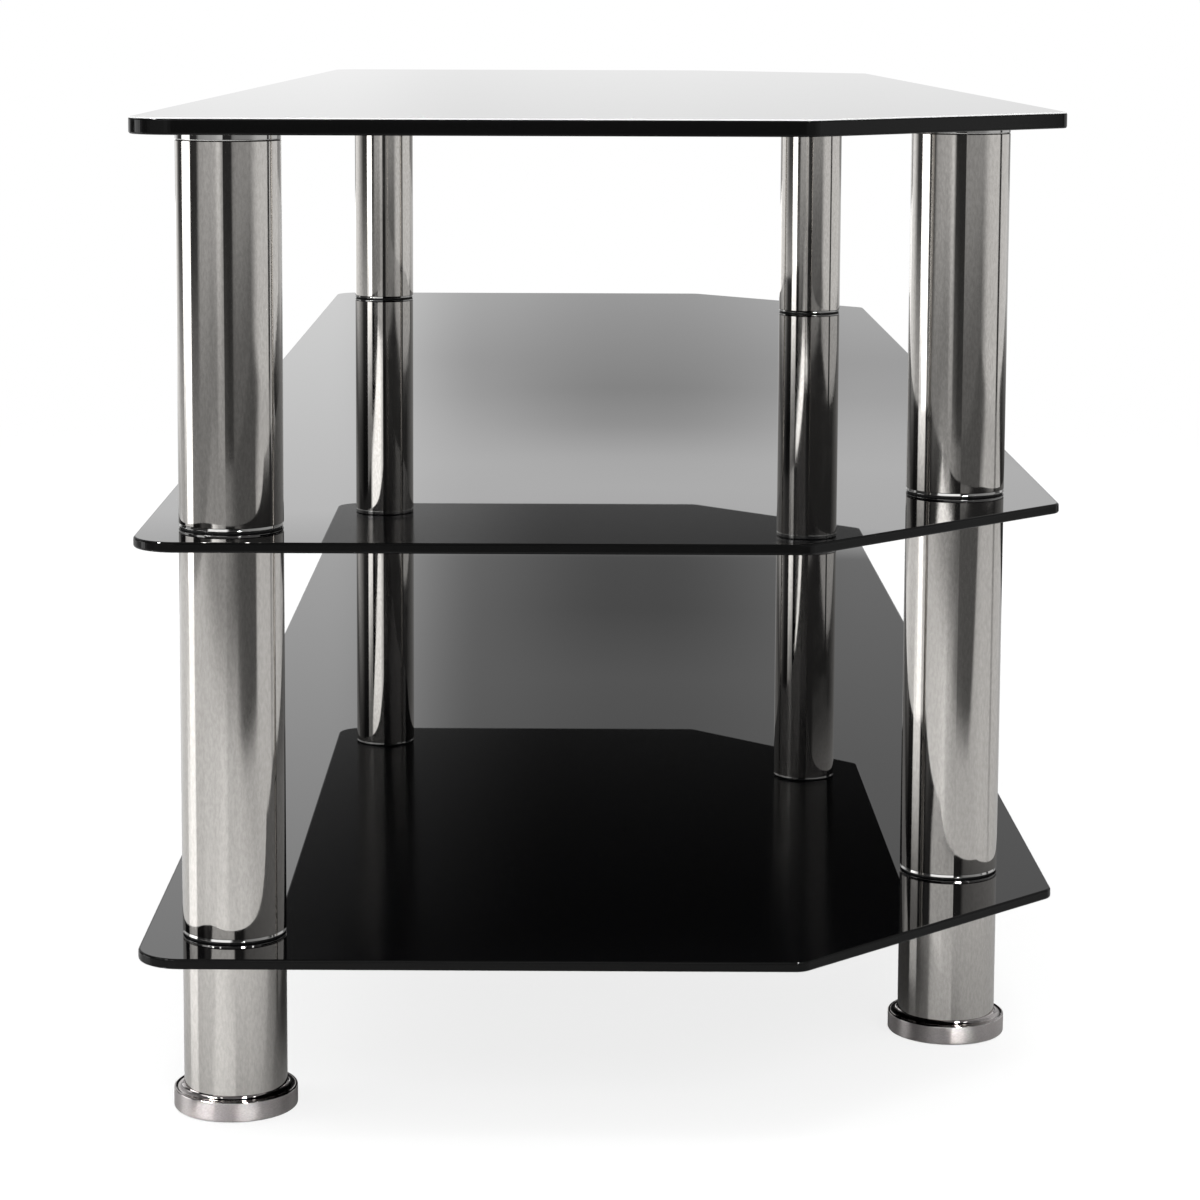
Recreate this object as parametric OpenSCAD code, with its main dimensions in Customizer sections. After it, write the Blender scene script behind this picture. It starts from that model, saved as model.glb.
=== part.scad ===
// Three-tier glass television stand. Three black glass shelves are clamped between
// short steel tubes at four legs. X is the width, Y the depth with the front at -Y,
// Z is up, and the floor is at Z = 0 below the middle of the shelves.

/* [Glass shelves] */
// Width of the shelves, end to end
shelf_w = 1400; // [1000:10:1600]
// Depth of the shelves, front to back
shelf_d = 450; // [400:10:600]
// Size of the 45 degree cut across each rear corner
rear_cut = 135; // [60:5:150]
// Radius of the two front corners
front_corner_r = 22; // [8:1:40]
// Radius of the four corners beside the rear cuts
rear_corner_r = 10; // [4:1:20]
// Thickness of the top glass
top_glass_t = 8; // [6:0.5:12]
// Thickness of the middle and bottom glass
shelf_glass_t = 5; // [4:0.5:8]
// Width of the ground arris along the edges of the top glass
top_arris = 1; // [0.4:0.1:1.6]
// Width of the ground arris along the edges of the lower shelves
shelf_arris = 0.7; // [0.3:0.1:1.2]
// Diameter of the drilled holes that the shelf studs pass through
glass_hole_d = 14; // [13:0.5:18]

/* [Legs] */
// Outer diameter of the leg tubes
leg_d = 50; // [42:1:60]
// Wall of the leg tubes
tube_wall = 1.2; // [0.8:0.1:2]
// Length of the tubes from the feet to the bottom shelf
lower_tube_l = 67.4; // [56:0.2:120]
// Length of the tubes between the bottom and the middle shelf
middle_tube_l = 188.5; // [100:0.5:300]
// Length of the tubes between the middle shelf and the top
upper_tube_l = 181.5; // [100:0.5:300]
// Bevel around each end of a tube
tube_bevel = 0.25; // [0.1:0.05:0.5]
// Gap from the end of the glass to the front legs
front_leg_end_gap = 25; // [12:1:80]
// Gap from the front edge of the glass to the front legs
front_leg_edge_gap = 18; // [12:1:60]
// Gap, measured along the width, from a rear cut to its leg
rear_leg_cut_gap = 16; // [12:1:80]
// Gap from the back edge of the glass to the rear legs
rear_leg_edge_gap = 23; // [12:1:60]

/* [End plugs] */
// Thickness of the ring of a plug that shows between tube and glass
flange_t = 1.5; // [1.3:0.1:4]
// Rounding of the edge of that ring next to the gasket
flange_edge_r = 0.3; // [0.2:0.1:0.6]
// How much smaller in radius the ring is where it meets the tube
flange_bevel = 0.4; // [0.2:0.1:0.8]
// Length of a plug inside its tube
plug_l = 16; // [12:1:22]
// Wall of the skirt of a plug
plug_skirt = 2; // [1.2:0.1:3]
// Diameter of the threaded boss of a plug
plug_boss_d = 18; // [15:0.5:24]
// Thickness of the closed end of a plug that has no ring
plug_web_t = 2.5; // [1.5:0.5:5]
// Thickness of the ribs between boss and skirt
plug_rib_t = 2; // [1.2:0.1:3]
// Number of ribs in a plug
plug_ribs = 6; // [3:1:10]

/* [Studs and gaskets] */
// Diameter of the threaded studs
stud_d = 10; // [8:1:10]
// Length of stud that is screwed into each plug
stud_grip = 13; // [8:1:16]
// Width across flats of the hexagon socket in a stud
socket_af = 5; // [4:0.5:5]
// Depth of the hexagon socket
socket_depth = 4; // [2:0.5:6]
// Chamfer at the ends of a stud
stud_chamfer = 1; // [0.5:0.1:1.5]
// Thickness of the soft gaskets on both faces of the lower shelves
gasket_t = 0.7; // [0.4:0.1:2]
// How far a gasket stays inside the ring above or below it
gasket_inset = 0.8; // [0.3:0.1:3]
// Thickness of the discs bonded under the top glass
bonded_disc_t = 3.8; // [3:0.1:8]
// Rounding of the edges of those discs
bonded_disc_edge_r = 0.8; // [0.3:0.1:1.2]
// Length of the stud that each bonded disc carries below it
disc_stud_l = 12; // [8:1:16]
// Depth of the disc's stud inside the disc
disc_stud_seat = 2.8; // [1.5:0.1:2.8]

/* [Levelling feet] */
// How far the feet stand out around the legs
foot_overhang = 5; // [3:0.5:12]
// Height from the floor to the end of the leg with the foot screwed right in
foot_h = 12; // [9:0.5:20]
// Drop of the foot's top from the tube out to its rim
foot_slope = 1.6; // [0.5:0.1:2.5]
// Depth that this top is hollowed below a straight slope
foot_hollow = 1; // [0.3:0.1:1.2]
// Radius of the rim around the top of a foot
foot_rim_r = 0.8; // [0.3:0.1:1.2]
// Radius of the edge around the bottom of a foot
foot_base_r = 1.2; // [0.4:0.1:1.6]
// How far a foot can be screwed out to level the stand
foot_travel = 8; // [0:1:10]
// Length of foot stem that stays in the thread when the foot is screwed right out
stem_grip = 8; // [6:1:10]
// Depth that the stem is pressed into the foot
stem_seat = 6; // [4:0.5:6]
// Thickness of the anti-slip pad
pad_t = 2; // [1:0.5:2.5]
// How far the pad stands proud of the foot
pad_proud = 0.5; // [0.3:0.1:0.8]
// Width of metal left around the pad
pad_border = 3; // [2:0.5:6]

/* [Fits] */
// Radial clearance of plugs in tubes, and of studs and stems in threads
fit = 0.05; // [0.02:0.01:0.1]
// Radial clearance of loose plastic pieces
loose_fit = 0.2; // [0.1:0.05:0.4]

/* [Hidden] */
LEGS = ["front_left", "front_right", "rear_left", "rear_right"];

round_fn = 96;
corner_fn = 48;
glass_colour = [0.05, 0.05, 0.055];
tube_colour = [0.72, 0.71, 0.69];
ring_colour = [0.85, 0.85, 0.86];
stud_colour = [0.6, 0.6, 0.62];
gasket_colour = [0.1, 0.1, 0.1];
bush_colour = [0.85, 0.85, 0.82];
foot_colour = [0.7, 0.68, 0.68];

// Radii that several pieces share
leg_r = leg_d / 2;
tube_in_r = leg_r - tube_wall;
plug_r = tube_in_r - fit;
stud_r = stud_d / 2;
thread_r = stud_r + fit;
foot_r = leg_r + foot_overhang;
pad_r = foot_r - pad_border;
gasket_r = leg_r - gasket_inset;
bush_r = glass_hole_d / 2 - loose_fit;

// Heights of the stack, from the floor up
joint_t = flange_t + gasket_t;
lower_tube_z = foot_h;
bottom_glass_z = lower_tube_z + lower_tube_l + joint_t;
middle_tube_z = bottom_glass_z + shelf_glass_t + joint_t;
middle_glass_z = middle_tube_z + middle_tube_l + joint_t;
upper_tube_z = middle_glass_z + shelf_glass_t + joint_t;
bonded_disc_z = upper_tube_z + upper_tube_l;
top_glass_z = bonded_disc_z + bonded_disc_t;

// Leg centres, measured in from the outline of the glass
front_leg_x = shelf_w / 2 - front_leg_end_gap - leg_r;
front_leg_y = -shelf_d / 2 + front_leg_edge_gap + leg_r;
rear_leg_x = shelf_w / 2 - rear_cut - rear_leg_cut_gap - leg_r;
rear_leg_y = shelf_d / 2 - rear_leg_edge_gap - leg_r;
leg_places = [
    [-front_leg_x, front_leg_y, 0], [front_leg_x, front_leg_y, 0],
    [-rear_leg_x, rear_leg_y, 0], [rear_leg_x, rear_leg_y, 0]
];

// Corners of the glass outline with their radii, counter-clockwise from the front left
glass_corners = [
    [-shelf_w / 2, -shelf_d / 2, front_corner_r],
    [shelf_w / 2, -shelf_d / 2, front_corner_r],
    [shelf_w / 2, shelf_d / 2 - rear_cut, rear_corner_r],
    [shelf_w / 2 - rear_cut, shelf_d / 2, rear_corner_r],
    [-shelf_w / 2 + rear_cut, shelf_d / 2, rear_corner_r],
    [-shelf_w / 2, shelf_d / 2 - rear_cut, rear_corner_r]
];

function point_of(corner) = [corner[0], corner[1]];

function unit(v) = v / norm(v);

// Centre of the circle of radius r that rounds the corner between two neighbours
function round_centre(before, corner, after, r) =
    let (
        to_before = unit(before - corner),
        to_after = unit(after - corner),
        half_angle = acos(to_before * to_after) / 2
    )
    corner + unit(to_before + to_after) * r / sin(half_angle);

// Rounded outline of the glass, drawn in by an inset along every edge
module glass_outline(inset) {
    count = len(glass_corners);
    hull()
        for (i = [0 : count - 1]) {
            before = point_of(glass_corners[(i + count - 1) % count]);
            here = point_of(glass_corners[i]);
            after = point_of(glass_corners[(i + 1) % count]);
            r = glass_corners[i][2];
            translate(round_centre(before, here, after, r))
                circle(r = r - inset, $fn = corner_fn);
        }
}

// One pane: a plate with a ground arris along its upper and lower edges
module glass_pane(thickness, arris) {
    hull() {
        translate([0, 0, arris])
            linear_extrude(thickness - 2 * arris)
                glass_outline(0);
        linear_extrude(thickness)
            glass_outline(arris);
    }
}

module at_each_leg() {
    for (place = leg_places)
        translate(place)
            children();
}

module top_glass() {
    color(glass_colour)
        translate([0, 0, top_glass_z])
            glass_pane(top_glass_t, top_arris);
}

// A lower shelf has one drilled hole at each leg
module drilled_glass(z) {
    color(glass_colour)
        difference() {
            translate([0, 0, z])
                glass_pane(shelf_glass_t, shelf_arris);
            at_each_leg()
                translate([0, 0, z - shelf_glass_t])
                    cylinder(d = glass_hole_d, h = 3 * shelf_glass_t, $fn = round_fn);
        }
}

// Welded steel tube, bevelled inside and outside at both ends
module tube(length) {
    color(tube_colour)
        rotate_extrude($fn = round_fn)
            polygon([
                [tube_in_r + tube_bevel, 0],
                [leg_r - tube_bevel, 0],
                [leg_r, tube_bevel],
                [leg_r, length - tube_bevel],
                [leg_r - tube_bevel, length],
                [tube_in_r + tube_bevel, length],
                [tube_in_r, length - tube_bevel],
                [tube_in_r, tube_bevel]
            ]);
}

module upper_tube() {
    translate([0, 0, upper_tube_z])
        tube(upper_tube_l);
}

module middle_tube() {
    translate([0, 0, middle_tube_z])
        tube(middle_tube_l);
}

module lower_tube() {
    translate([0, 0, lower_tube_z])
        tube(lower_tube_l);
}

// A round disc from z = 0 up, with both of its outer edges rounded
module round_edged_disc(r, thickness, edge_r) {
    rotate_extrude($fn = round_fn)
        union() {
            square([r - edge_r, thickness]);
            translate([0, edge_r])
                square([r, thickness - 2 * edge_r]);
            for (z = [edge_r, thickness - edge_r])
                translate([r - edge_r, z])
                    circle(r = edge_r, $fn = corner_fn);
        }
}

// The part of a plug inside its tube: skirt, threaded boss and ribs, from z = 0 up
module plug_body() {
    linear_extrude(plug_l)
        union() {
            difference() {
                circle(r = plug_r, $fn = round_fn);
                circle(r = plug_r - plug_skirt, $fn = round_fn);
            }
            circle(d = plug_boss_d, $fn = round_fn);
            for (i = [0 : plug_ribs - 1])
                rotate(i * 360 / plug_ribs)
                    translate([0, -plug_rib_t / 2])
                        square([plug_r - plug_skirt / 2, plug_rib_t]);
        }
}

// Ring of a plug, below z = 0: bevelled towards the tube, rounded towards the gasket
module plug_ring() {
    rotate_extrude($fn = round_fn)
        union() {
            polygon([
                [0, -flange_t],
                [leg_r - flange_edge_r, -flange_t],
                [leg_r, -flange_t + flange_edge_r],
                [leg_r - flange_bevel, 0],
                [0, 0]
            ]);
            translate([leg_r - flange_edge_r, -flange_t + flange_edge_r])
                circle(r = flange_edge_r, $fn = corner_fn);
        }
}

// Die-cast plug whose ring covers the end of the tube
module flanged_plug() {
    color(ring_colour)
        difference() {
            union() {
                plug_ring();
                plug_body();
            }
            translate([0, 0, -2 * flange_t])
                cylinder(r = thread_r, h = plug_l + 3 * flange_t, $fn = round_fn);
        }
}

// Plug without a ring, pushed in flush with the end of the tube
module flush_plug() {
    color(ring_colour)
        difference() {
            union() {
                plug_body();
                cylinder(r = plug_r, h = plug_web_t, $fn = round_fn);
            }
            translate([0, 0, -plug_web_t])
                cylinder(r = thread_r, h = plug_l + 2 * plug_web_t, $fn = round_fn);
        }
}

// The same plug turned over, for the top end of a tube
module over_top() {
    mirror([0, 0, 1])
        children();
}

module upper_tube_top_plugs() {
    at_each_leg()
        translate([0, 0, upper_tube_z + upper_tube_l])
            over_top() flush_plug();
}

module upper_tube_bottom_plugs() {
    at_each_leg()
        translate([0, 0, upper_tube_z])
            flanged_plug();
}

module middle_tube_top_plugs() {
    at_each_leg()
        translate([0, 0, middle_tube_z + middle_tube_l])
            over_top() flanged_plug();
}

module middle_tube_bottom_plugs() {
    at_each_leg()
        translate([0, 0, middle_tube_z])
            flanged_plug();
}

module lower_tube_top_plugs() {
    at_each_leg()
        translate([0, 0, lower_tube_z + lower_tube_l])
            over_top() flanged_plug();
}

module lower_tube_foot_plugs() {
    at_each_leg()
        translate([0, 0, lower_tube_z])
            flush_plug();
}

// Threaded stud with chamfered ends, from z = 0 up
module stud(length) {
    rotate_extrude($fn = round_fn)
        polygon([
            [0, 0],
            [stud_r - stud_chamfer, 0],
            [stud_r, stud_chamfer],
            [stud_r, length - stud_chamfer],
            [stud_r - stud_chamfer, length],
            [0, length]
        ]);
}

// Headless stud through the glass, with a hexagon socket in its upper end
module shelf_studs(glass_z) {
    length = shelf_glass_t + 2 * (joint_t + stud_grip);
    color(stud_colour)
        at_each_leg()
            translate([0, 0, glass_z - joint_t - stud_grip])
                difference() {
                    stud(length);
                    translate([0, 0, length - socket_depth])
                        cylinder(d = socket_af / cos(30), h = 2 * socket_depth, $fn = 6);
                }
}

// Plastic sleeve that keeps the stud off the rim of the drilled hole
module shelf_bushes(glass_z) {
    color(bush_colour)
        at_each_leg()
            translate([0, 0, glass_z])
                difference() {
                    cylinder(r = bush_r, h = shelf_glass_t, $fn = round_fn);
                    translate([0, 0, -shelf_glass_t])
                        cylinder(r = stud_r + loose_fit, h = 3 * shelf_glass_t, $fn = round_fn);
                }
}

// Flat soft ring between the glass and the ring of a plug
module gaskets(z) {
    color(gasket_colour)
        at_each_leg()
            translate([0, 0, z])
                difference() {
                    cylinder(r = gasket_r, h = gasket_t, $fn = round_fn);
                    translate([0, 0, -gasket_t])
                        cylinder(r = stud_r + loose_fit, h = 3 * gasket_t, $fn = round_fn);
                }
}

// Polished disc bonded to the underside of the top glass, tapped from below
module bonded_discs() {
    color(ring_colour)
        at_each_leg()
            translate([0, 0, bonded_disc_z])
                difference() {
                    round_edged_disc(leg_r, bonded_disc_t, bonded_disc_edge_r);
                    translate([0, 0, -disc_stud_seat])
                        cylinder(r = thread_r, h = 2 * disc_stud_seat, $fn = round_fn);
                }
}

module bonded_disc_studs() {
    color(stud_colour)
        at_each_leg()
            translate([0, 0, bonded_disc_z - disc_stud_l])
                stud(disc_stud_l + disc_stud_seat);
}

// Turned foot: hollowed top, rounded rim, rounded base with a recess for the pad
module foot() {
    rim_z = foot_h - foot_slope;
    seat_edge = [leg_r, foot_h];
    rim_top = [foot_r - foot_rim_r, rim_z];
    half_chord = norm(rim_top - seat_edge) / 2;
    hollow_r = (half_chord * half_chord + foot_hollow * foot_hollow) / (2 * foot_hollow);
    down_slope = unit(rim_top - seat_edge);
    above_slope = [-down_slope[1], down_slope[0]];
    color(foot_colour)
        difference() {
            rotate_extrude($fn = round_fn)
                union() {
                    difference() {
                        polygon([
                            [0, pad_proud],
                            [foot_r - foot_base_r, pad_proud],
                            [foot_r, pad_proud + foot_base_r],
                            [foot_r, rim_z - foot_rim_r],
                            rim_top,
                            seat_edge,
                            [0, foot_h]
                        ]);
                        translate((seat_edge + rim_top) / 2 + (hollow_r - foot_hollow) * above_slope)
                            circle(r = hollow_r, $fn = round_fn);
                    }
                    translate([foot_r - foot_base_r, pad_proud + foot_base_r])
                        circle(r = foot_base_r, $fn = corner_fn);
                    translate([foot_r - foot_rim_r, rim_z - foot_rim_r])
                        circle(r = foot_rim_r, $fn = corner_fn);
                }
            translate([0, 0, -pad_t])
                cylinder(r = pad_r + loose_fit, h = 2 * pad_t, $fn = round_fn);
            translate([0, 0, foot_h - stem_seat])
                cylinder(r = thread_r, h = 2 * stem_seat, $fn = round_fn);
        }
}

// Threaded stem, pressed into the foot and screwed up into the plug of the lower tube
module foot_stem() {
    color(stud_colour)
        translate([0, 0, foot_h - stem_seat])
            stud(stem_seat + foot_travel + stem_grip);
}

// Round anti-slip pad in the recess under the foot, standing a little proud of it
module foot_pad() {
    color(gasket_colour)
        cylinder(r = pad_r, h = pad_t, $fn = round_fn);
}

top_glass();
drilled_glass(middle_glass_z);  // middle_glass
drilled_glass(bottom_glass_z);  // bottom_glass
for (i = [0 : len(LEGS) - 1]) {
    place = leg_places[i];
    translate(place) upper_tube();
    translate(place) middle_tube();
    translate(place) lower_tube();
    translate(place) foot();
    translate(place) foot_stem();
    translate(place) foot_pad();
}
bonded_discs();
bonded_disc_studs();
upper_tube_top_plugs();
upper_tube_bottom_plugs();
middle_tube_top_plugs();
middle_tube_bottom_plugs();
lower_tube_top_plugs();
lower_tube_foot_plugs();
shelf_studs(middle_glass_z);  // middle_shelf_studs
shelf_studs(bottom_glass_z);  // bottom_shelf_studs
shelf_bushes(middle_glass_z);  // middle_shelf_bushes
shelf_bushes(bottom_glass_z);  // bottom_shelf_bushes
gaskets(middle_glass_z + shelf_glass_t);  // middle_shelf_upper_gaskets
gaskets(middle_glass_z - gasket_t);  // middle_shelf_lower_gaskets
gaskets(bottom_glass_z + shelf_glass_t);  // bottom_shelf_upper_gaskets
gaskets(bottom_glass_z - gasket_t);  // bottom_shelf_lower_gaskets
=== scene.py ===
import math

import bpy
from mathutils import Matrix, Vector
from mathutils.geometry import tessellate_polygon


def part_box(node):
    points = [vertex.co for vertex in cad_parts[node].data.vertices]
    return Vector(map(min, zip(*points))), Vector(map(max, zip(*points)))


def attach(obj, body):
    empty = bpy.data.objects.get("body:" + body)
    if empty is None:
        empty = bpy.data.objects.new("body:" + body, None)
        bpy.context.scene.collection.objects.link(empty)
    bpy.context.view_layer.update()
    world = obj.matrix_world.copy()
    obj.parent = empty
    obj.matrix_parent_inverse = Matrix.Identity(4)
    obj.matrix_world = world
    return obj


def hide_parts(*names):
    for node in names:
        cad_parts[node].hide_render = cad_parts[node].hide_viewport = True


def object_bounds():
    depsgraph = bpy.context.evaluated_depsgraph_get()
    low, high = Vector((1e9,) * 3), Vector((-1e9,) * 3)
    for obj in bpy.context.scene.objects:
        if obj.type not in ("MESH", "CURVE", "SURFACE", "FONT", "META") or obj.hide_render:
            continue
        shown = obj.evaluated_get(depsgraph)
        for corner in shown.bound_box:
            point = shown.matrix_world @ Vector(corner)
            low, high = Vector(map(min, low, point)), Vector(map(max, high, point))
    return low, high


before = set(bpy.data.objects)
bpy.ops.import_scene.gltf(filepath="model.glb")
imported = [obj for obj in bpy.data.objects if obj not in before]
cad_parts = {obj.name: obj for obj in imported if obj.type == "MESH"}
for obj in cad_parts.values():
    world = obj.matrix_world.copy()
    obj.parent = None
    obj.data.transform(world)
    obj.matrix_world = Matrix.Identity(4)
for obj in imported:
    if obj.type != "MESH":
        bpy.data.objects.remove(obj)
cad_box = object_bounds()

# Viewing place
# The photograph looks along the stand from beyond its right end, from just above the top
# glass, through a long lens. The frame lies below and a little to the right of the lens's
# axis, which keeps the legs nearly upright.
viewing_place = Vector((2.209, -0.0209, 0.5258))
viewing_turn = math.radians(-0.31)
viewing_tilt = math.radians(-6.94)
viewing_lean = math.radians(0.18)
forward = Vector((
    -math.cos(viewing_turn) * math.cos(viewing_tilt),
    math.sin(viewing_turn) * math.cos(viewing_tilt),
    math.sin(viewing_tilt),
))
level_right = forward.cross(Vector((0, 0, 1))).normalized()
level_up = level_right.cross(forward)
right = math.cos(viewing_lean) * level_right + math.sin(viewing_lean) * level_up
up = right.cross(forward)
lens = bpy.data.cameras.new("viewing_lens")
lens.sensor_width = 36
lens.lens = 99.3
lens.shift_x = 0.04
lens.shift_y = -0.15
lens.clip_end = 50
viewer = bpy.data.objects.new("viewer", lens)
viewing_axes = Matrix((right, up, -forward)).transposed().to_4x4()
viewer.matrix_world = Matrix.Translation(viewing_place) @ viewing_axes
bpy.context.scene.collection.objects.link(viewer)
bpy.context.scene.camera = viewer
bpy.context.scene.view_settings.view_transform = "Standard"


# Studio
# A white room. Polished metal and glass mirror low glowing studio cards on three sides of the stand,
# with a standing soft box among them, and above the cards a darker room with its lamps.
# These are painted reflections: only reflections see them, and the stand is lit by the lamps below
# and by plain white light.
# Angles are in degrees from +X, the viewer's side, towards +Y, the back of the stand.
def add_node(tree, kind, inputs=(), **settings):
    node = tree.nodes.new(kind)
    for name, value in settings.items():
        setattr(node, name, value)
    for place, value in dict(inputs).items():
        if isinstance(value, bpy.types.NodeSocket):
            tree.links.new(value, node.inputs[place])
        else:
            node.inputs[place].default_value = value
    return node


def calculate(tree, operation, *values):
    return add_node(tree, "ShaderNodeMath", dict(enumerate(values)), operation=operation).outputs[0]


def ease(tree, value, start, end, low=0.0, high=1.0, kind="SMOOTHSTEP"):
    """Goes from low to high, with soft ends, as the value goes from start to end."""
    node = add_node(
        tree, "ShaderNodeMapRange",
        {"Value": value, "From Min": start, "From Max": end, "To Min": low, "To Max": high},
        interpolation_type=kind,
    )
    return node.outputs["Result"]


def blend_of(tree, share, one, other):
    node = add_node(tree, "ShaderNodeMix", {"Factor": share, "A": one, "B": other}, data_type="RGBA")
    return node.outputs["Result"]


def parts_of(tree, vector):
    return add_node(tree, "ShaderNodeSeparateXYZ", {0: vector}).outputs


def place_on_surface(tree):
    return parts_of(tree, add_node(tree, "ShaderNodeNewGeometry").outputs["Position"])


def mix_of(tree, share, one, other):
    return add_node(tree, "ShaderNodeMixShader", {0: share, 1: one, 2: other}).outputs[0]


def grey_ramp(tree, place, stops):
    """Greys along a place: stops are (place, tone), from the lowest place to the highest."""
    start, end = stops[0][0], stops[-1][0]
    ramp = add_node(tree, "ShaderNodeValToRGB", {"Fac": ease(tree, place, start, end, kind="LINEAR")})
    elements = ramp.color_ramp.elements
    elements.remove(elements[-1])
    for number, (stop, tone) in enumerate(stops):
        position = (stop - start) / (end - start)
        element = elements.new(position) if number else elements[0]
        element.position = position
        element.color = (tone, tone, tone, 1)
    return ramp.outputs["Color"]


def stage_paint(name):
    paint = bpy.data.materials.new(name)
    paint.use_nodes = True
    paint.node_tree.nodes.clear()
    return paint, paint.node_tree


SOFT_BOX = 3.0
DARK = 0.04
CARD_TOP = 0.68
CARD_SHADE = (0.06, 0.36)
CARD_FADE = (0.4, 0.62)
FRONT_Y, REAR_Y = -1.7, 3.0
FAR_X, VIEWER_X = -3.0, 3.0


def studio_card(name, start, end, along, top_share, stops):
    """A low glowing card, banded along X or Y: stops are (place, tone above, tone near the floor)."""
    mesh = bpy.data.meshes.new(name)
    corners = ((*start, 0), (*end, 0), (*end, CARD_TOP), (*start, CARD_TOP))
    mesh.from_pydata(corners, [], [(0, 1, 2, 3)])
    card = bpy.data.objects.new(name, mesh)
    bpy.context.scene.collection.objects.link(card)
    # The cards glow with painted greys and only reflections see them; they light nothing and cast no
    # shadow.
    card.visible_camera = False
    card.visible_diffuse = False
    card.visible_shadow = False
    card.visible_transmission = False
    paint, tree = stage_paint(name)
    spot = place_on_surface(tree)
    above = grey_ramp(tree, spot[along], [(place, tone) for place, tone, _ in stops])
    below = grey_ramp(tree, spot[along], [(place, tone) for place, _, tone in stops])
    tones = blend_of(tree, ease(tree, spot["Z"], *CARD_SHADE), below, above)
    level = ease(tree, spot["Z"], *CARD_FADE, 1.0, top_share)
    glow = add_node(tree, "ShaderNodeEmission", {"Color": tones, "Strength": level})
    add_node(tree, "ShaderNodeOutputMaterial", {"Surface": glow.outputs[0]})
    mesh.materials.append(paint)


studio_card("front_card", (FAR_X, FRONT_Y), (VIEWER_X, FRONT_Y), "X", top_share=0.15, stops=(
    (FAR_X, 1.05, 1.0), (-1.6, 0.95, 0.85), (-1.2, 0.62, 0.75), (-0.85, 0.3, 0.7), (-0.6, 0.06, 0.55),
    (-0.02, DARK, 0.5), (0.03, SOFT_BOX, 0.6), (0.26, SOFT_BOX, 0.7), (0.32, SOFT_BOX, SOFT_BOX),
    (0.74, SOFT_BOX, SOFT_BOX), (0.8, 0.03, 0.3), (1.3, DARK, 0.26), (1.55, 0.42, 0.24),
    (2.2, 0.5, 0.25), (VIEWER_X, 0.52, 0.26),
))
studio_card("viewer_side_card", (VIEWER_X, FRONT_Y), (VIEWER_X, REAR_Y), "Y", top_share=1.0, stops=(
    (FRONT_Y, 0.5, 0.26), (-1.15, 0.58, 0.26), (-0.95, 0.78, 0.42), (-0.78, 0.78, 0.42),
    (-0.6, 0.28, 0.36), (-0.5, 0.03, 0.12), (0.0, 0.03, DARK), (0.3, 0.03, 0.05),
    (0.45, 0.26, 0.13), (0.75, 0.34, 0.14), (REAR_Y, 0.37, 0.16),
))
studio_card("rear_card", (VIEWER_X, REAR_Y), (FAR_X, REAR_Y), "X", top_share=1.0, stops=(
    (FAR_X, 0.75, 0.75), (-0.24, 0.74, 0.72), (-0.16, DARK, DARK), (0.12, DARK, DARK),
    (0.2, 0.74, 0.7), (1.7, 0.7, 0.68), (2.1, 0.6, 0.55), (2.6, 0.46, 0.3), (VIEWER_X, 0.38, 0.18),
))

room = bpy.data.worlds.new("white_room")
bpy.context.scene.world = room
room.use_nodes = True
sky = room.node_tree
sky.nodes.clear()
direction = add_node(sky, "ShaderNodeTexCoord").outputs["Generated"]
toward = parts_of(sky, direction)
bearing = calculate(sky, "DEGREES", calculate(sky, "ARCTAN2", toward["Y"], toward["X"]))
height = calculate(sky, "DEGREES", calculate(sky, "ARCSINE", toward["Z"]))

# Above the cards the room lies in rings, each with its greys by bearing, up to the ceiling.
ROOM_LAMP = 1.6
STRONG_LAMP, MIDDLE_LAMP, WEAK_LAMP = 300, 20, 8
CEILING = (0.2, 0.2, 0.2, 1)
DIM_RING_TOP = (11.5, 13.5)
LOW_RING_TOP = (29, 34)
HIGH_RING_TOP = (46, 49)
LAMP_RING_TOP = (56, 59)
dim_ring = grey_ramp(sky, bearing, (
    (-180, 0.5), (-135, 0.3), (-112, DARK), (-54, DARK), (-46, SOFT_BOX), (-14, SOFT_BOX),
    (-4, DARK), (100, DARK), (180, 0.5),
))
low_ring = grey_ramp(sky, bearing, (
    (-180, 0.6), (-135, 0.4), (-126, 0.9), (-118, 0.9), (-112, 0.05), (-51, 0.05),
    (-47, ROOM_LAMP), (3, ROOM_LAMP), (6, DARK), (24, DARK), (32, 0.3), (90, 0.45), (180, 0.6),
))
high_ring = grey_ramp(sky, bearing, (
    (-180, 0.4), (-89, 0.1), (-85, ROOM_LAMP), (-68, ROOM_LAMP), (-64, 0.1), (60, 0.2), (180, 0.4),
))
# The lamps in this ring light nothing: only reflections see them, as painted highlights.
lamp_ring = grey_ramp(sky, bearing, (
    (-180, 0.15), (-76, 0.1), (-74, STRONG_LAMP), (-70, STRONG_LAMP), (-68, 0.1),
    (-60, 0.1), (-58, MIDDLE_LAMP), (-56, MIDDLE_LAMP), (-54, 0.1),
    (-38, 0.1), (-37, WEAK_LAMP), (-35, WEAK_LAMP), (-34, 0.1),
    (25, 0.1), (27, STRONG_LAMP), (31, STRONG_LAMP), (33, 0.1),
    (55, 0.1), (56, WEAK_LAMP), (59, WEAK_LAMP), (60, 0.1), (180, 0.15),
))
surroundings = blend_of(sky, ease(sky, height, *DIM_RING_TOP), dim_ring, low_ring)
surroundings = blend_of(sky, ease(sky, height, *LOW_RING_TOP), surroundings, high_ring)
surroundings = blend_of(sky, ease(sky, height, *HIGH_RING_TOP), surroundings, lamp_ring)
surroundings = blend_of(sky, ease(sky, height, *LAMP_RING_TOP), surroundings, CEILING)

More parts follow.
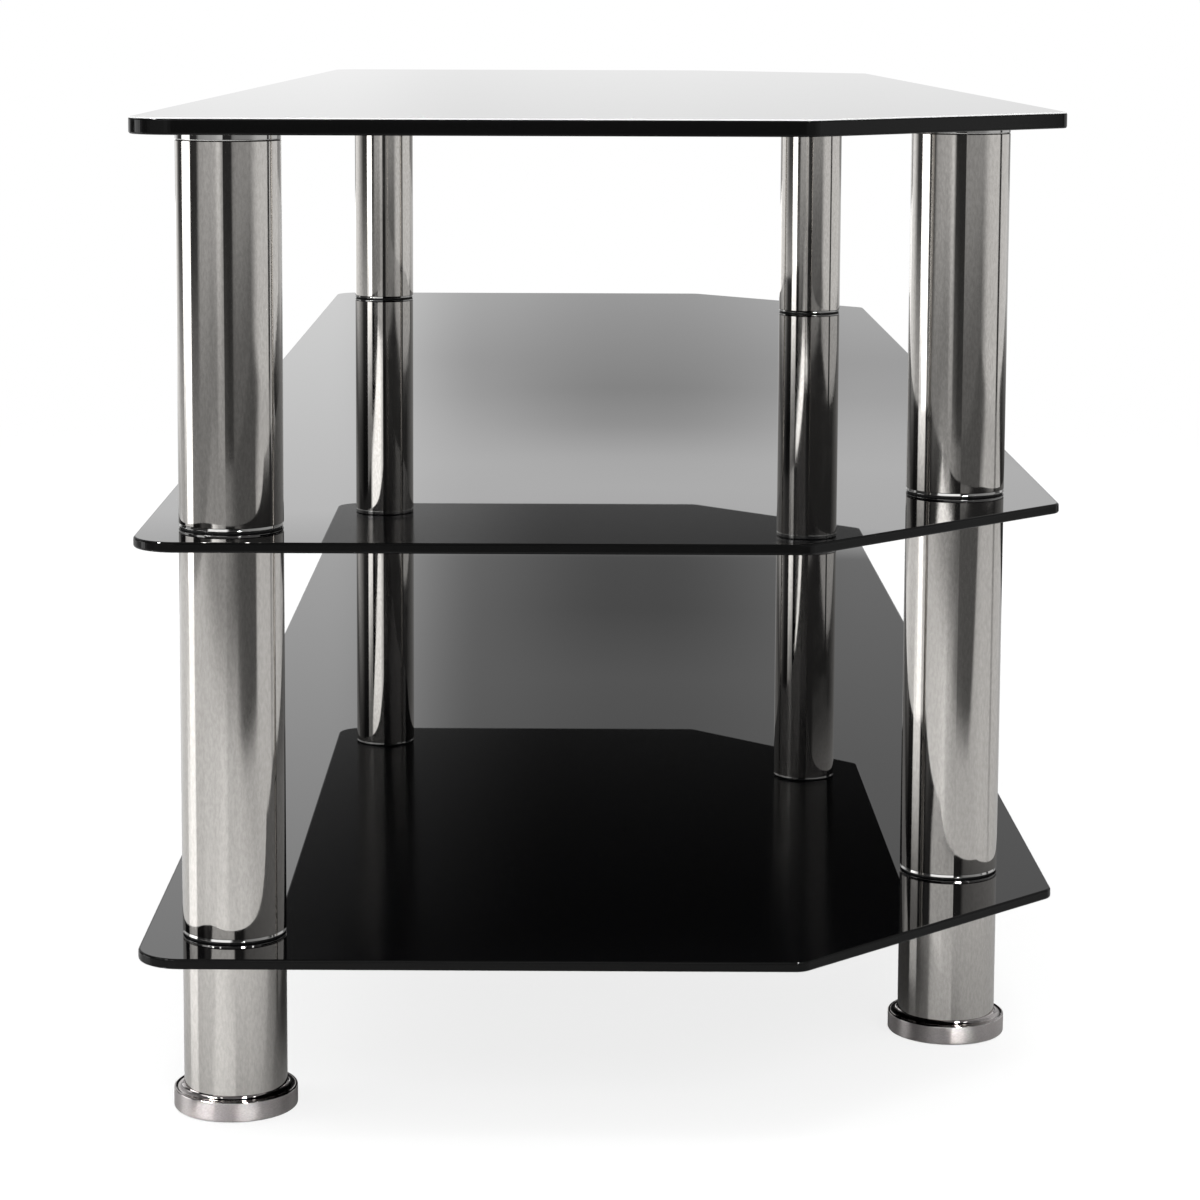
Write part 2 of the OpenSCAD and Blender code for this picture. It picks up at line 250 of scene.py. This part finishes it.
# Beyond the far end the shelves mirror a backdrop, darker behind the middle of the stand
# and bright at the left. Its greys go by height, in degrees.
away_from_viewer = calculate(sky, "MULTIPLY", toward["X"], -1)
off_axis = calculate(sky, "DEGREES", calculate(sky, "ARCTAN2", toward["Y"], away_from_viewer))
behind_middle = grey_ramp(sky, height, (
    (0, 0.9), (2.6, 0.9), (4.5, 0.52), (5.2, 0.48), (6.4, 0.42), (7.0, 0.54), (7.6, 0.8),
    (8.1, 0.88), (8.8, 0.88), (9.3, 0.17), (10.2, 0.17), (11.4, 0.25), (13, 0.25), (34, 0.35),
))
behind_side = grey_ramp(sky, height, (
    (0, 0.88), (2.6, 0.88), (4.5, 0.66), (5.9, 0.59), (6.5, 0.66), (7.1, 0.79), (7.7, 0.89),
    (8.8, 0.92), (9.3, 0.34), (13, 0.32), (34, 0.35),
))
behind_left = grey_ramp(sky, height, (
    (0, 0.95), (3, 0.97), (5, 1.0), (8.5, 1.08), (9.3, 0.84), (12, 0.82), (34, 0.6),
))
BACKDROP_MIDDLE = 1.2
off_middle = calculate(sky, "ABSOLUTE", calculate(sky, "SUBTRACT", off_axis, BACKDROP_MIDDLE))
backdrop = blend_of(sky, ease(sky, off_middle, 0.3, 4.0), behind_middle, behind_side)
backdrop = blend_of(sky, ease(sky, off_axis, -1.5, -4.3), backdrop, behind_left)
at_far_end = ease(sky, calculate(sky, "ABSOLUTE", bearing), 160, 170)
low_enough = ease(sky, height, 34, 24)
far_share = calculate(sky, "MULTIPLY", at_far_end, low_enough)
surroundings = blend_of(sky, far_share, surroundings, backdrop)

WHITE = (1, 1, 1, 1)
# Only reflections see the rings, the backdrop and their lamps, which makes them painted reflections;
# all other light from the room is plain white, and the viewer sees plain white.
path = add_node(sky, "ShaderNodeLightPath").outputs
mirrored = add_node(sky, "ShaderNodeBackground", {"Color": surroundings, "Strength": 1.0}).outputs[0]
plain_light = add_node(sky, "ShaderNodeBackground", {"Color": WHITE, "Strength": 0.55}).outputs[0]
white_room = add_node(sky, "ShaderNodeBackground", {"Color": WHITE, "Strength": 1.0}).outputs[0]
lighting = mix_of(sky, path["Is Glossy Ray"], plain_light, mirrored)
seen_room = mix_of(sky, path["Is Camera Ray"], lighting, white_room)
add_node(sky, "ShaderNodeOutputWorld", {"Surface": seen_room})

LAMP_AIM = Vector((0, 0, 0.2))


def soft_lamp(name, lamp_bearing, distance, lamp_height, width, tall, watts):
    """An area lamp at this bearing, aimed at the stand, which nothing mirrors."""
    lamp = bpy.data.lights.new(name, "AREA")
    lamp.shape = "RECTANGLE"
    lamp.size = width
    lamp.size_y = tall
    lamp.energy = watts
    place = Vector((
        distance * math.cos(math.radians(lamp_bearing)),
        distance * math.sin(math.radians(lamp_bearing)),
        lamp_height,
    ))
    holder = bpy.data.objects.new(name, lamp)
    holder.location = place
    holder.rotation_mode = "QUATERNION"
    holder.rotation_quaternion = (LAMP_AIM - place).to_track_quat("-Z", "Y")
    holder.visible_glossy = False
    bpy.context.scene.collection.objects.link(holder)


soft_lamp("overhead_soft_box", 0, distance=0.2, lamp_height=2.6, width=2.4, tall=1.6, watts=34)
soft_lamp("front_soft_box", -72, distance=2.4, lamp_height=1.6, width=0.9, tall=0.9, watts=14)
soft_lamp("end_soft_box", 22, distance=2.8, lamp_height=1.7, width=0.9, tall=0.9, watts=14)

# Floor
# A sheet of white paper under the stand, on a darker bare floor that only polished metal and glass
# mirror, and which glows in painted light and shade instead of being lit. To the viewer it is a
# clear film that lets the white room through and keeps the stand's soft shadow, so a foot
# screwed out below it stays in sight.
HALF_FLOOR = 7.0
FLOOR_GAP = 0.0002
floor_mesh = bpy.data.meshes.new("floor")
floor_corners = (
    (-HALF_FLOOR, -HALF_FLOOR, 0), (HALF_FLOOR, -HALF_FLOOR, 0),
    (HALF_FLOOR, HALF_FLOOR, 0), (-HALF_FLOOR, HALF_FLOOR, 0),
)
floor_mesh.from_pydata(floor_corners, [], [(0, 1, 2, 3)])
floor = bpy.data.objects.new("floor", floor_mesh)
floor.location.z = -FLOOR_GAP
bpy.context.scene.collection.objects.link(floor)
floor_paint, tree = stage_paint("floor_paint")
spot = place_on_surface(tree)

# The paper ends before the bare floor at both ends, and at the corner behind the rear leg.
# Each border is soft, from where the paper starts to fade to where it has gone.
PAPER_END = (1.35, 2.1)
PAPER_FAR_END = (-0.62, -0.75)
CORNER_START = (-0.1, 0.3)
DIAGONAL_BORDER, DIAGONAL_SLOPE = (0.7, 0.86), 0.53
SLANTED_BORDER, SLANTED_SLOPE = (1.35, 1.65), 0.6
past_diagonal = calculate(
    tree, "SUBTRACT", spot["X"], calculate(tree, "MULTIPLY", spot["Y"], DIAGONAL_SLOPE)
)
past_slant = calculate(tree, "ADD", spot["X"], calculate(tree, "MULTIPLY", spot["Y"], SLANTED_SLOPE))
past_both = calculate(
    tree, "MULTIPLY",
    ease(tree, past_diagonal, *DIAGONAL_BORDER), ease(tree, past_slant, *SLANTED_BORDER),
)
bare_corner = calculate(tree, "MULTIPLY", past_both, ease(tree, spot["Y"], *CORNER_START))
bare_ends = calculate(
    tree, "MAXIMUM",
    ease(tree, spot["X"], *PAPER_END), ease(tree, spot["X"], *PAPER_FAR_END),
)
bare = calculate(tree, "MAXIMUM", bare_ends, bare_corner)
# The bare floor's tones are painted light and shade: darker towards the back at the near end, nearly
# black just past the far end and lighter further out, and brighter than white towards the front
# beyond the far end.
near_end_glow = ease(tree, spot["Y"], -0.6, 0.6, 0.34, 0.1)
far_end_glow = grey_ramp(tree, spot["X"], (
    (-4.5, 0.6), (-3.4, 0.5), (-2.6, 0.25), (-2.0, 0.14), (-1.1, 0.03), (-0.6, 0.02),
))
far_left_glow = grey_ramp(tree, spot["X"], (
    (-4.5, 1.5), (-3.4, 1.4), (-2.2, 0.9), (-1.1, 0.5), (-0.6, 0.6),
))
far_end_glow = blend_of(tree, ease(tree, spot["Y"], -0.02, -0.42), far_end_glow, far_left_glow)
painted_floor_glow = blend_of(tree, ease(tree, spot["X"], -0.5, 0.5), far_end_glow, near_end_glow)
# Painted shade: the paper's white is painted darker towards the back of the stand, for reflections
# and for light bounced off it.
paper_white_painted_shade = ease(tree, spot["Y"], -0.15, 0.35, 0.86, 0.6)
matt = add_node(tree, "ShaderNodeBsdfDiffuse", {"Color": paper_white_painted_shade}).outputs[0]
sheen = add_node(tree, "ShaderNodeBsdfGlossy", {"Color": WHITE, "Roughness": 0.14}).outputs[0]
sheen_share = add_node(tree, "ShaderNodeFresnel", {"IOR": 1.42}).outputs[0]
paper = mix_of(tree, sheen_share, matt, sheen)
# Only reflections see the bare floor, which glows with these painted tones instead of being lit.
bare_floor_glow = add_node(tree, "ShaderNodeEmission", {"Color": painted_floor_glow, "Strength": 1.0}).outputs[0]
mirrored_floor = mix_of(tree, bare, paper, bare_floor_glow)

# The viewed floor is mostly clear, and matt enough round the stand to show its shadow.
SHADOW_REACH = (0.1, 1.4)
SHADOW_SHARE = 0.3
FILM_LOSS = 0.6
half_width, half_depth, _ = cad_box[1]
from_stand = calculate(
    tree, "MAXIMUM",
    calculate(tree, "SUBTRACT", calculate(tree, "ABSOLUTE", spot["X"]), half_width),
    calculate(tree, "SUBTRACT", calculate(tree, "ABSOLUTE", spot["Y"]), half_depth),
)
matt_share = ease(tree, from_stand, *SHADOW_REACH, SHADOW_SHARE, 0.0)
clear_share = calculate(tree, "SUBTRACT", 1.0, calculate(tree, "MULTIPLY", matt_share, FILM_LOSS))
matt_film = add_node(tree, "ShaderNodeBsdfDiffuse", {"Color": matt_share}).outputs[0]
clear_film = add_node(tree, "ShaderNodeBsdfTransparent", {"Color": clear_share}).outputs[0]
viewed_floor = add_node(tree, "ShaderNodeAddShader", {0: clear_film, 1: matt_film}).outputs[0]
path = add_node(tree, "ShaderNodeLightPath").outputs
unseen_floor = mix_of(tree, path["Is Glossy Ray"], matt, mirrored_floor)
whole_floor = mix_of(tree, path["Is Camera Ray"], unseen_floor, viewed_floor)
add_node(tree, "ShaderNodeOutputMaterial", {"Surface": whole_floor})
floor_mesh.materials.append(floor_paint)


# Glass panes
# Each shelf is one pane of tempered black glass, cut to shape and polished round its edges,
# with both rear corners cut off. The top pane also has a narrow ground arris, the two lower
# ones have a drilled hole at each leg, and all are printed black underneath.
def finish_of(name):
    material = bpy.data.materials.new(name)
    material.use_nodes = True
    surface = material.node_tree.nodes["Principled BSDF"]
    return material, material.node_tree, surface


def speckle(tree, scale, detail=3.0, roughness=0.55, stretch=(1, 1, 1)):
    place = add_node(tree, "ShaderNodeTexCoord").outputs["Object"]
    stretched = add_node(tree, "ShaderNodeMapping", {"Vector": place, "Scale": stretch}).outputs[0]
    noise = add_node(
        tree, "ShaderNodeTexNoise",
        {"Vector": stretched, "Scale": scale, "Detail": detail, "Roughness": roughness},
    )
    return noise.outputs["Fac"]


def relief(tree, surface, pattern, depth):
    bump = add_node(tree, "ShaderNodeBump", {"Height": pattern, "Distance": depth, "Strength": 1.0})
    tree.links.new(bump.outputs[0], surface.inputs["Normal"])


def two_tones(tree, surface, share, one, other):
    tree.links.new(blend_of(tree, share, one, other), surface.inputs["Base Color"])


def uneven_gloss(tree, surface, pattern, low, high, start=0.3, end=0.7):
    tree.links.new(ease(tree, pattern, start, end, low, high), surface.inputs["Roughness"])


black_glass, tree, surface = finish_of("black_glass")
surface.inputs["Base Color"].default_value = (0.0025, 0.0025, 0.003, 1)
surface.inputs["IOR"].default_value = 1.52
uneven_gloss(tree, surface, speckle(tree, 9.0), 0.006, 0.014, 0.35, 0.75)

black_edge, tree, surface = finish_of("black_edge")
surface.inputs["Base Color"].default_value = (0.006, 0.006, 0.006, 1)
surface.inputs["IOR"].default_value = 1.22
polish_marks = speckle(tree, 300.0, stretch=(0.2, 0.2, 1))
uneven_gloss(tree, surface, polish_marks, 0.03, 0.08)

printed_black, tree, surface = finish_of("printed_black")
print_tone = ease(tree, speckle(tree, 700.0), 0.3, 0.7)
two_tones(tree, surface, print_tone, (0.002, 0.002, 0.0022, 1), (0.004, 0.004, 0.004, 1))
uneven_gloss(tree, surface, print_tone, 0.12, 0.18, 0, 1)
surface.inputs["IOR"].default_value = 1.1

ground_arris, tree, surface = finish_of("ground_arris")
grinding = speckle(tree, 2500.0)
two_tones(tree, surface, grinding, (0.88, 0.89, 0.89, 1), WHITE)
surface.inputs["Roughness"].default_value = 0.4
relief(tree, surface, grinding, 0.00002)

REAR_CUT = 0.135
FRONT_CORNER_R = 0.022
REAR_CORNER_R = 0.010
GLASS_HOLE_R = 0.007
EDGE_ROUNDING = 0.0011
GROUND_ARRIS = 0.0006
CORNER_STEPS = 24
ROUNDING_STEPS = 6
HOLE_STEPS = 64
WELD_REACH = 0.000001
FACE, EDGE, PRINTED, GROUND = 0, 1, 2, 3
leg_centres = {}
for leg in ("front_left", "front_right", "rear_left", "rear_right"):
    low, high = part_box("middle_tube_" + leg)
    leg_centres[leg] = ((low.x + high.x) / 2, (low.y + high.y) / 2)


def pane_outline(low, high, inset):
    """Points round a pane, its corners rounded, this far in from the edge."""
    corners = (
        (low.x, low.y, FRONT_CORNER_R), (high.x, low.y, FRONT_CORNER_R),
        (high.x, high.y - REAR_CUT, REAR_CORNER_R), (high.x - REAR_CUT, high.y, REAR_CORNER_R),
        (low.x + REAR_CUT, high.y, REAR_CORNER_R), (low.x, high.y - REAR_CUT, REAR_CORNER_R),
    )
    points = []
    for number, (x, y, radius) in enumerate(corners):
        here = Vector((x, y))
        before = (Vector(corners[number - 1][:2]) - here).normalized()
        after = (Vector(corners[(number + 1) % len(corners)][:2]) - here).normalized()
        half_angle = before.angle(after) / 2
        centre = here + (before + after).normalized() * radius / math.sin(half_angle)
        start = math.atan2(-before.x, before.y) + math.pi
        turn = math.pi - 2 * half_angle
        for step in range(CORNER_STEPS + 1):
            angle = start + turn * step / CORNER_STEPS
            points.append(centre + (radius - inset) * Vector((math.cos(angle), math.sin(angle))))
    return points


def edge_levels(low_z, high_z, arris):
    """Inset, height and finish above it, of each level of the edge, from the underside up."""
    levels = []
    for step in range(ROUNDING_STEPS + 1):
        turn = math.pi / 2 * step / ROUNDING_STEPS
        levels.append((
            EDGE_ROUNDING * (1 - math.sin(turn)), low_z + EDGE_ROUNDING * (1 - math.cos(turn)), EDGE,
        ))
    last_turn = math.pi / 4 if arris else math.pi / 2
    seat = high_z - arris - EDGE_ROUNDING * math.sin(last_turn)
    for step in range(ROUNDING_STEPS + 1):
        turn = last_turn * step / ROUNDING_STEPS
        levels.append((
            EDGE_ROUNDING * (1 - math.cos(turn)), seat + EDGE_ROUNDING * math.sin(turn), EDGE,
        ))
    if arris:
        inset, z, _ = levels.pop()
        levels += [(inset, z, GROUND), (inset + arris, high_z, GROUND)]
    return levels


def hole_outlines():
    outlines = []
    for x, y in leg_centres.values():
        outline = []
        for step in range(HOLE_STEPS):
            angle = 2 * math.pi * step / HOLE_STEPS
            out = Vector((math.cos(angle), math.sin(angle)))
            outline.append(Vector((x, y)) + GLASS_HOLE_R * out)
        outlines.append(outline)
    return outlines


def add_wall(vertices, faces, low_outline, low_z, high_outline, high_z, inward=False):
    """Quads from one outline up to another of as many points."""
    base, count = len(vertices), len(low_outline)
    vertices += [(point.x, point.y, low_z) for point in low_outline]
    vertices += [(point.x, point.y, high_z) for point in high_outline]
    for i in range(count):
        j = (i + 1) % count
        quad = (base + i, base + j, base + count + j, base + count + i)
        faces.append(quad[::-1] if inward else quad)


def add_flat_face(vertices, faces, outlines, z, facing):
    """One flat face with its holes, in triangles that all face up (1) or down (-1)."""
    base = len(vertices)
    flat = [(point.x, point.y, z) for outline in outlines for point in outline]
    vertices += flat
    loops = [[Vector((point.x, point.y, 0)) for point in outline] for outline in outlines]
    for triangle in tessellate_polygon(loops):
        a, b, c = (flat[k] for k in triangle)
        area = (b[0] - a[0]) * (c[1] - a[1]) - (b[1] - a[1]) * (c[0] - a[0])
        order = triangle if area * facing > 0 else triangle[::-1]
        faces.append(tuple(base + k for k in order))


def weld_and_smooth(piece, sharp_angle):
    """Joins points that lie on each other, and shades all but the sharper edges smooth."""
    welded = piece.modifiers.new("weld", "WELD")
    welded.merge_threshold = WELD_REACH
    with bpy.context.temp_override(object=piece, active_object=piece, selected_objects=[piece]):
        bpy.ops.object.modifier_apply(modifier=welded.name)
        bpy.ops.object.shade_smooth_by_angle(angle=math.radians(sharp_angle))


def glass_pane(node, arris, drilled):
    low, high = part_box(node)
    levels = edge_levels(low.z, high.z, arris)
    outlines = [pane_outline(low, high, inset) for inset, _, _ in levels]
    holes = hole_outlines() if drilled else []
    vertices, faces, finishes = [], [], []

    def finish_new_faces(finish):
        finishes.extend([finish] * (len(faces) - len(finishes)))

    for number in range(len(levels) - 1):
        _, low_z, finish = levels[number]
        high_z = levels[number + 1][1]
        add_wall(vertices, faces, outlines[number], low_z, outlines[number + 1], high_z)
        finish_new_faces(finish)
    add_flat_face(vertices, faces, [outlines[0]] + holes, low.z, -1)
    finish_new_faces(PRINTED)
    add_flat_face(vertices, faces, [outlines[-1]] + holes, high.z, 1)
    finish_new_faces(FACE)
    for hole in holes:
        add_wall(vertices, faces, hole, low.z, hole, high.z, inward=True)
    finish_new_faces(EDGE)
    mesh = bpy.data.meshes.new(node + "_pane")
    mesh.from_pydata(vertices, [], faces)
    for finish in (black_glass, black_edge, printed_black, ground_arris):
        mesh.materials.append(finish)
    mesh.polygons.foreach_set("material_index", finishes)
    pane = bpy.data.objects.new(node + "_pane", mesh)
    bpy.context.scene.collection.objects.link(pane)
    weld_and_smooth(pane, sharp_angle=25)
    for edge in pane.data.edges:
        heights = [pane.data.vertices[k].co.z for k in edge.vertices]
        for flat_z in (low.z, high.z):
            if all(abs(z - flat_z) < WELD_REACH for z in heights):
                edge.use_edge_sharp = True
    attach(pane, "stand")
    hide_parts(node)


glass_pane("top_glass", arris=GROUND_ARRIS, drilled=False)
glass_pane("middle_glass", arris=0, drilled=True)
glass_pane("bottom_glass", arris=0, drilled=True)

# Leg tubes
# Short lengths of welded steel tube between the panes, polished so that they mirror the room
# in long upright bands, with a faint fine grain left by the brushing.
brushed_tube, tree, surface = finish_of("brushed_tube")
surface.inputs["Metallic"].default_value = 1.0
fine_grain = speckle(tree, 900.0, 4.0, 0.65, (1, 1, 0.35))
patches = speckle(tree, 70.0, 2.0, 0.5, (1, 1, 0.5))
grain_share = ease(tree, fine_grain, 0.3, 0.7)
two_tones(tree, surface, grain_share, (0.58, 0.559, 0.532, 1), (0.7, 0.675, 0.644, 1))
uneven_gloss(tree, surface, patches, 0.045, 0.085)
relief(tree, surface, fine_grain, 0.000004)


def refinish(node, finish):
    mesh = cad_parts[node].data
    mesh.materials.clear()
    mesh.materials.append(finish)


for leg in leg_centres:
    for length in ("upper", "middle", "lower"):
        refinish(f"{length}_tube_{leg}", brushed_tube)

# Plugs and bonded discs
# Die-cast plugs close the tubes, and the bevelled ring of each shows between tube and glass.
# The discs that hold the top glass are bonded under it. All have bright chrome plating.
polished_ring, tree, surface = finish_of("polished_ring")
surface.inputs["Metallic"].default_value = 1.0
surface.inputs["Base Color"].default_value = (0.52, 0.515, 0.505, 1)
uneven_gloss(tree, surface, speckle(tree, 400.0), 0.03, 0.07)
for node in (
    "bonded_discs", "upper_tube_top_plugs", "upper_tube_bottom_plugs", "middle_tube_top_plugs",
    "middle_tube_bottom_plugs", "lower_tube_top_plugs", "lower_tube_foot_plugs",
):
    refinish(node, polished_ring)

# Gaskets, sleeves and pads
# Thin soft black rings keep metal off both faces of the drilled shelves, nylon sleeves keep
# the studs off the rims of the holes, and plain rubber pads lie under the feet.
black_gasket, tree, surface = finish_of("black_gasket")
surface.inputs["Base Color"].default_value = (0.012, 0.012, 0.012, 1)
uneven_gloss(tree, surface, speckle(tree, 900.0), 0.45, 0.65)
for shelf in ("middle", "bottom"):
    for face in ("upper", "lower"):
        refinish(f"{shelf}_shelf_{face}_gaskets", black_gasket)

clear_nylon, tree, surface = finish_of("clear_nylon")
surface.inputs["Base Color"].default_value = (0.72, 0.72, 0.68, 1)
surface.inputs["Roughness"].default_value = 0.4
relief(tree, surface, speckle(tree, 900.0), 0.00002)
for shelf in ("middle", "bottom"):
    refinish(f"{shelf}_shelf_bushes", clear_nylon)

foot_rubber, tree, surface = finish_of("foot_rubber")
surface.inputs["Base Color"].default_value = (0.02, 0.02, 0.02, 1)
surface.inputs["Roughness"].default_value = 0.8
relief(tree, surface, speckle(tree, 1200.0), 0.0001)
for leg in leg_centres:
    refinish("foot_pad_" + leg, foot_rubber)

# Levelling feet
# Turned steel feet with a satin nickel finish on the side and a polished hollow above, so
# that the side has soft broad highlights, the rim a bright line and the hollow sparkles.
satin_foot, tree, surface = finish_of("satin_foot")
surface.inputs["Metallic"].default_value = 1.0
turned = speckle(tree, 900.0, 3.0, 0.6, (1, 1, 3))
facing = parts_of(tree, add_node(tree, "ShaderNodeNewGeometry").outputs["True Normal"])
hollow_share = ease(tree, facing["Z"], 0.12, 0.4)
satin = ease(tree, turned, 0.3, 0.7, 0.46, 0.54)
polish = 0.06
roughness = add_node(
    tree, "ShaderNodeMix",
    {"Factor": hollow_share, "A": satin, "B": polish}, data_type="FLOAT",
)
tree.links.new(roughness.outputs["Result"], surface.inputs["Roughness"])
turned_share = ease(tree, turned, 0.3, 0.7)
two_tones(tree, surface, turned_share, (0.5, 0.47, 0.465, 1), (0.64, 0.605, 0.6, 1))
relief(tree, surface, turned, 0.000003)
surface.inputs["Anisotropic"].default_value = 0.85
surface.inputs["Anisotropic Rotation"].default_value = 0.25
round_the_foot = add_node(tree, "ShaderNodeTangent", direction_type="RADIAL", axis="Z").outputs[0]
tree.links.new(round_the_foot, surface.inputs["Tangent"])
for leg in leg_centres:
    refinish("foot_" + leg, satin_foot)

# Studs and stems
# Galvanised steel thread rod: headless studs that clamp the shelves, with a hexagon socket
# in the upper end, short studs under the top glass, and the stems of the feet.
threaded_steel, tree, surface = finish_of("threaded_steel")
surface.inputs["Metallic"].default_value = 1.0
galvanising = speckle(tree, 600.0)
two_tones(tree, surface, galvanising, (0.5, 0.5, 0.49, 1), (0.64, 0.64, 0.63, 1))
uneven_gloss(tree, surface, galvanising, 0.22, 0.36)

THREAD_R = 0.005
THREAD_PITCH = 0.0015
THREAD_ROOT_R = 0.00408
END_R = 0.004
THREAD_STEPS = 24
SPARE_TURNS = 3
SOCKET_SIDES = 6
SOCKET_ACROSS_FLATS = 0.005
SOCKET_R = SOCKET_ACROSS_FLATS / math.sqrt(3)
SOCKET_DEPTH = 0.004

# One turn's profile: places in it, as shares of the pitch, and the radius at each. A root
# flat of a quarter of the pitch and a crest of an eighth leave two equal flanks.
ROOT_FLAT = 1 / 4
CREST_FLAT = 1 / 8
FLANK = (1 - ROOT_FLAT - CREST_FLAT) / 2
THREAD_FORM = (
    (0, THREAD_ROOT_R),
    (ROOT_FLAT, THREAD_ROOT_R),
    (ROOT_FLAT + FLANK, THREAD_R),
    (ROOT_FLAT + FLANK + CREST_FLAT, THREAD_R),
)


def around(radius, angle, z):
    return (radius * math.cos(angle), radius * math.sin(angle), z)


def threaded_rod(vertices, faces, place, low_z, high_z, socket):
    """Upright columns of thread profile, each a step higher than the last, cut off level."""
    first = len(vertices)
    turns = math.ceil((high_z - low_z) / THREAD_PITCH) + SPARE_TURNS
    column = turns * len(THREAD_FORM)
    points = []
    for step in range(THREAD_STEPS):
        angle = 2 * math.pi * step / THREAD_STEPS
        for turn in range(turns):
            for offset, form_r in THREAD_FORM:
                z = low_z + THREAD_PITCH * (turn - 1 + step / THREAD_STEPS + offset)
                z = min(max(z, low_z), high_z)
                radius = min(form_r, END_R + z - low_z, END_R + high_z - z)
                points.append(around(radius, angle, z))
    for step in range(THREAD_STEPS):
        shift = 0 if step + 1 < THREAD_STEPS else len(THREAD_FORM)
        here = first + step * column
        there = first + (step + 1) % THREAD_STEPS * column + shift
        for k in range(column - shift - 1):
            faces.append((here + k, there + k, there + k + 1, here + k + 1))
    rims = []
    for z in (low_z, high_z):
        rims.append([first + len(points) + step for step in range(THREAD_STEPS)])
        for step in range(THREAD_STEPS):
            points.append(around(END_R, 2 * math.pi * step / THREAD_STEPS, z))
    low_rim, high_rim = rims
    faces.append(tuple(reversed(low_rim)))
    if socket:
        mouth = first + len(points)
        bottom = mouth + SOCKET_SIDES
        for z in (high_z, high_z - SOCKET_DEPTH):
            for side in range(SOCKET_SIDES):
                points.append(around(SOCKET_R, 2 * math.pi * side / SOCKET_SIDES, z))
        share = THREAD_STEPS // SOCKET_SIDES
        for side in range(SOCKET_SIDES):
            after = (side + 1) % SOCKET_SIDES
            arc = [high_rim[(side * share + k) % THREAD_STEPS] for k in range(share + 1)]
            faces.append((mouth + after, mouth + side, *arc))
            faces.append((mouth + side, mouth + after, bottom + after, bottom + side))
        faces.append(tuple(bottom + side for side in range(SOCKET_SIDES)))
    else:
        faces.append(tuple(high_rim))
    vertices += [(place[0] + x, place[1] + y, z) for x, y, z in points]


def thread_piece(name, body, node, places, socket=False):
    low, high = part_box(node)
    vertices, faces = [], []
    for place in places:
        threaded_rod(vertices, faces, place, low.z, high.z, socket)
    mesh = bpy.data.meshes.new(name)
    mesh.from_pydata(vertices, [], faces)
    mesh.materials.append(threaded_steel)
    piece = bpy.data.objects.new(name, mesh)
    bpy.context.scene.collection.objects.link(piece)
    weld_and_smooth(piece, sharp_angle=40)
    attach(piece, body)
    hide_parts(node)


thread_piece("bonded_disc_studs_threads", "stand", "bonded_disc_studs", leg_centres.values())
for node in ("middle_shelf_studs", "bottom_shelf_studs"):
    thread_piece(node + "_threads", "stand", node, leg_centres.values(), socket=True)
for leg, place in leg_centres.items():
    thread_piece(f"foot_stem_{leg}_thread", "levelling_foot_" + leg, "foot_stem_" + leg, [place])
